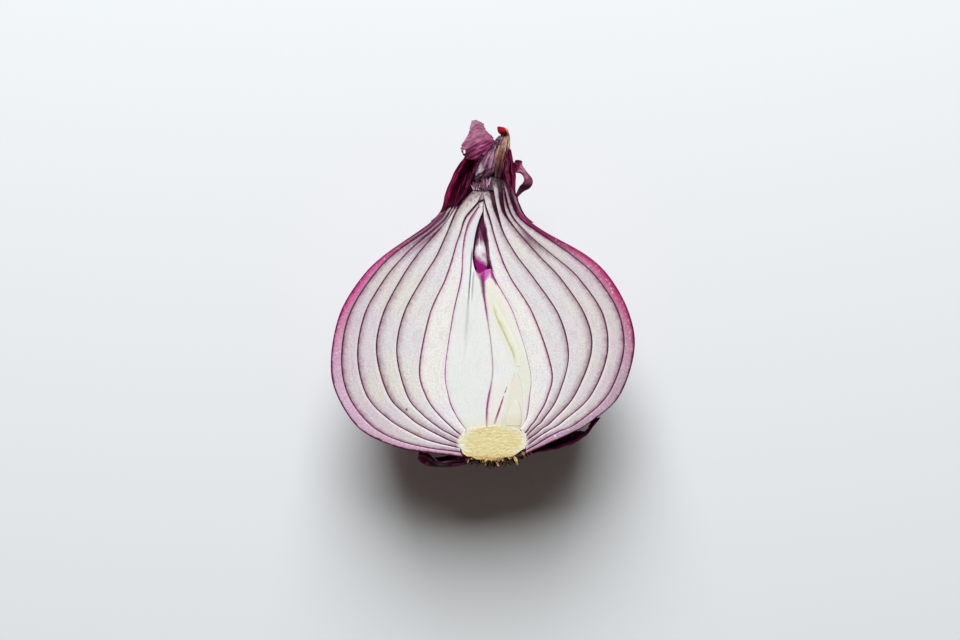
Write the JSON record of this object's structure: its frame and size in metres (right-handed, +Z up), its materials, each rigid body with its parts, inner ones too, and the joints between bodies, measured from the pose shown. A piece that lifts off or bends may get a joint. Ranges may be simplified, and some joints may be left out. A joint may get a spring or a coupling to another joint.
{
  "type": "half red onion",
  "caption": "Red onion cut in half lengthwise, lying on its round back: nested fleshy scales round two hearts, a fibrous root plate with dried roots, and torn dry skins at the neck.",
  "frame": {"origin": "middle of the small flat spot on the round back that the onion rests on", "axes": "+Z up, square to the level cut face; +Y from the root plate to the neck; +X to the right as seen from above with the neck up"},
  "size_m": [0.076, 0.0885, 0.0394],
  "materials": {
    "outer_flesh": "moist magenta flesh with a glossy purple outside and fine lengthwise veins",
    "flesh": "moist, translucent lilac-white flesh with a dark purple skin line along its outer side",
    "heart_flesh": "moist, translucent cream-white flesh with magenta edges",
    "sprout_flesh": "moist yellow-green shoot",
    "root_plate": "matt, fibrous yellow tissue",
    "dried_roots": "dry, ragged tan and dark brown root stubs",
    "dry_skin": "thin papery skin, dark purple-red with a satin sheen and lengthwise veins",
    "pink_skin": "dry, creased papery skin, mauve-pink",
    "dried_leaf": "shrivelled mauve-grey leaf",
    "dried_stub": "dry tan and brown stalk",
    "red_tip": "smooth dark red"
  },
  "bodies": {
    "root": {"scale_1": "outer_flesh", "scale_2": "flesh", "scale_3": "flesh", "scale_4": "flesh", "scale_5": "flesh", "scale_6": "flesh", "heart_left": "heart_flesh", "heart_right": "heart_flesh", "inner_tip": "heart_flesh", "sprout": "sprout_flesh", "bud": "heart_flesh", "bud_core": "heart_flesh", "basal_plate": "root_plate", "roots": "dried_roots", "base_skin_left": "dry_skin", "base_skin_right": "dry_skin", "neck_skin": "dry_skin", "neck_leaf": "dried_leaf", "neck_stub": "dried_stub", "neck_tip": "red_tip", "neck_flap": "pink_skin", "neck_curl": "pink_skin"}
  },
  "joints": []
}
